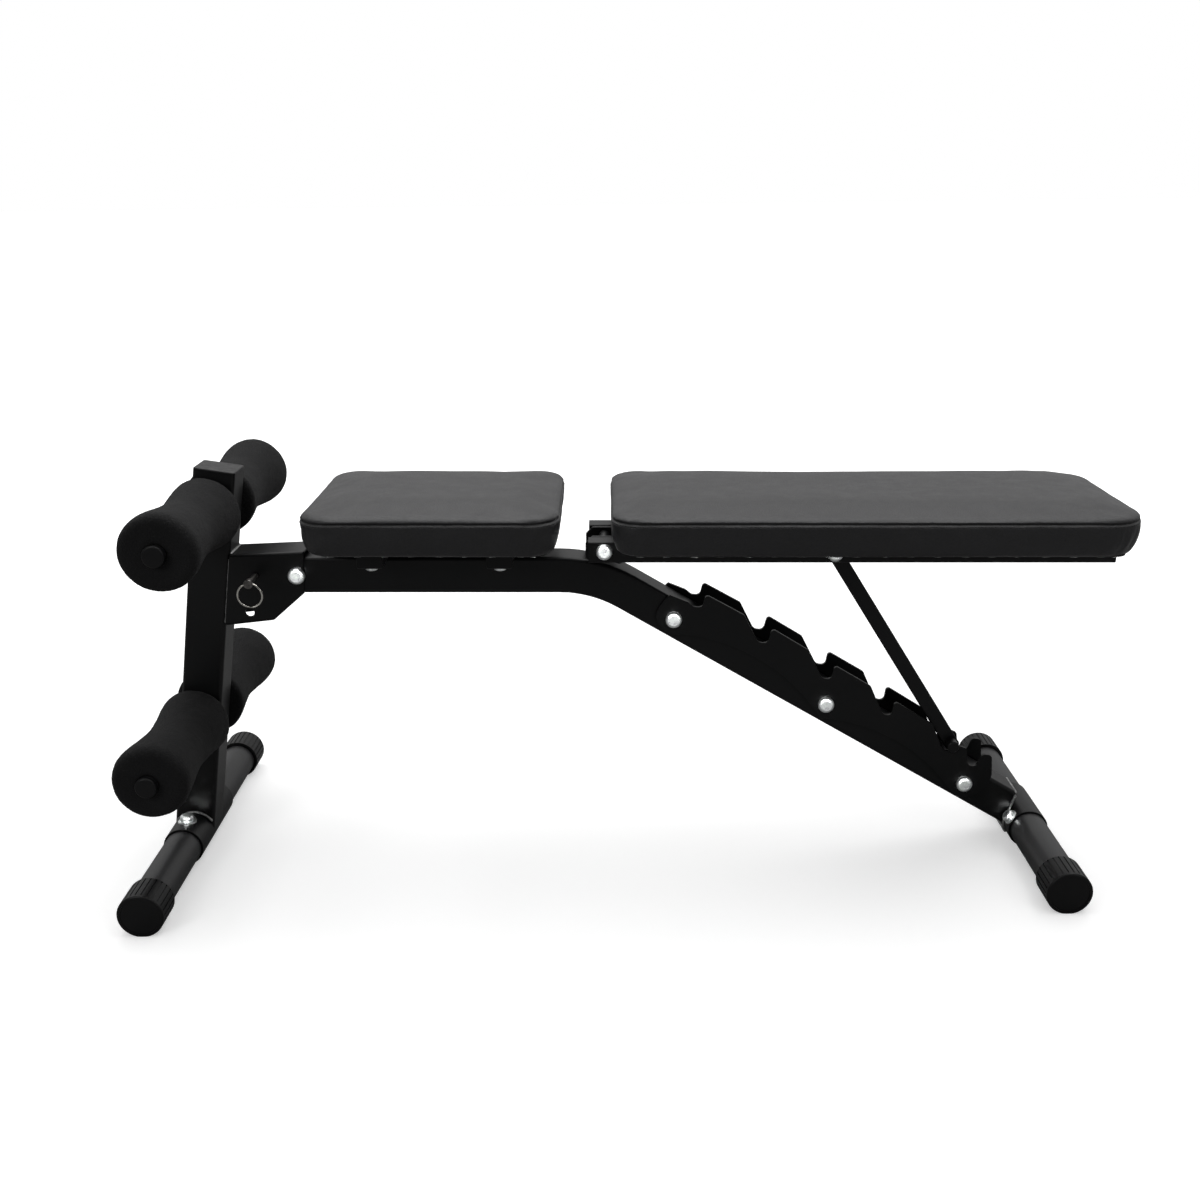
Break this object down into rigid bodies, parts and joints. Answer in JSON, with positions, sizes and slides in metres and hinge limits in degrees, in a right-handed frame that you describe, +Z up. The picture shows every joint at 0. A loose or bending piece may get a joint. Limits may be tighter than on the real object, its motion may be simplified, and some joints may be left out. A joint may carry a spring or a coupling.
{
  "type": "decline sit up bench",
  "caption": "Adjustable decline bench with tilting padded backrest, ratchet strut, fixed seat pad and foam leg rollers for sit-ups.",
  "frame": {"origin": "on the floor, in the middle of the overall length, on the bench's long centre plane", "axes": "+Z up; +X from the leg rollers towards the head of the backrest; +Y across the bench, towards the side with the nuts"},
  "size_m": [1.2972, 0.504, 0.5586],
  "materials": {
    "frame_black": "satin powder coat",
    "tube_black": "satin powder coat",
    "plastic_black": "moulded, fine grain",
    "zinc": "bright zinc plate",
    "pin_steel": "dull oiled steel",
    "nickel": "satin nickel",
    "board": "bare plywood",
    "vinyl": "fine grain upholstery vinyl",
    "foam": "closed-cell foam, matte"
  },
  "bodies": {
    "frame": {"main_beam": "frame_black", "front_post": "frame_black", "front_bracket": "frame_black", "ratchet_plate_near": "frame_black", "ratchet_plate_far": "frame_black", "hinge_ears": "frame_black", "seat_crossbar_front": "frame_black", "seat_crossbar_rear": "frame_black", "front_sleeve": "frame_black", "rear_sleeve": "frame_black", "front_foot_tube": "tube_black", "rear_foot_tube": "tube_black", "front_foot_caps": "plastic_black", "rear_foot_caps": "plastic_black", "post_top_cap": "plastic_black", "front_foot_bolts": "zinc", "front_foot_washers": "zinc", "rear_foot_bolts": "zinc", "rear_foot_washers": "zinc", "bracket_bolt": "zinc", "bracket_nut": "zinc", "ratchet_bolts": "zinc", "ratchet_nuts": "zinc", "hinge_bolt": "zinc", "hinge_nut": "zinc", "hinge_washers": "plastic_black", "crossbar_plugs": "plastic_black", "seat_bolts": "zinc", "seat_tee_nuts": "zinc", "seat_board": "board", "seat_pad": "vinyl", "upper_roller_axle": "tube_black", "lower_roller_axle": "tube_black", "upper_axle_plugs": "plastic_black", "lower_axle_plugs": "plastic_black", "hinge_sleeve": "frame_black"},
    "backrest": {"backrest_rail_near": "frame_black", "backrest_rail_far": "frame_black", "rail_plugs": "plastic_black", "backrest_strap_front": "frame_black", "backrest_strap_rear": "frame_black", "backrest_board": "board", "backrest_pad": "vinyl", "backrest_bolts": "zinc", "backrest_tee_nuts": "zinc", "strut_pivot_bolt": "zinc", "strut_pivot_nut": "zinc", "strut_spacers": "plastic_black"},
    "strut": {"strut_tube": "frame_black", "strut_cross_rod": "frame_black"},
    "lock_pin": {"lock_pin": "pin_steel"},
    "pin_ring": {"pin_ring": "nickel"},
    "roller_upper_near": {"upper_roller_near": "foam"},
    "roller_upper_far": {"upper_roller_far": "foam"},
    "roller_lower_near": {"lower_roller_near": "foam"},
    "roller_lower_far": {"lower_roller_far": "foam"}
  },
  "joints": [
    {"name": "backrest_tilt", "type": "hinge", "parent": "frame", "child": "backrest", "pos_m": [-0.025, 0, 0.4476], "axis": [0, -1, 0], "range_deg": [0, 70]},
    {"name": "strut_swing", "type": "hinge", "parent": "backrest", "child": "strut", "pos_m": [0.27696, 0, 0.44233], "axis": [0, -1, 0], "range_deg": [-98.5, 0]},
    {"name": "lock_pin_pull", "type": "slide", "parent": "frame", "child": "lock_pin", "axis": [0, -1, 0], "range_m": [0, 0.1]},
    {"name": "pin_ring_swing", "type": "hinge", "parent": "lock_pin", "child": "pin_ring", "pos_m": [-0.49243, -0.0631, 0.41066], "axis": [-1, 0, 0], "range_deg": [0, 95]},
    {"name": "upper_near_roller_spin", "type": "hinge", "parent": "frame", "child": "roller_upper_near", "pos_m": [-0.54897, 0, 0.49927], "axis": [0, 1, 0], "continuous": true},
    {"name": "upper_far_roller_spin", "type": "hinge", "parent": "frame", "child": "roller_upper_far", "pos_m": [-0.54897, 0, 0.49927], "axis": [0, 1, 0], "continuous": true},
    {"name": "lower_near_roller_spin", "type": "hinge", "parent": "frame", "child": "roller_lower_near", "pos_m": [-0.59469, 0, 0.20175], "axis": [0, 1, 0], "continuous": true},
    {"name": "lower_far_roller_spin", "type": "hinge", "parent": "frame", "child": "roller_lower_far", "pos_m": [-0.59469, 0, 0.20175], "axis": [0, 1, 0], "continuous": true}
  ],
  "couplings": [
    {"joint": "strut_swing", "follows": "backrest_tilt", "ratio": -1.4}
  ]
}
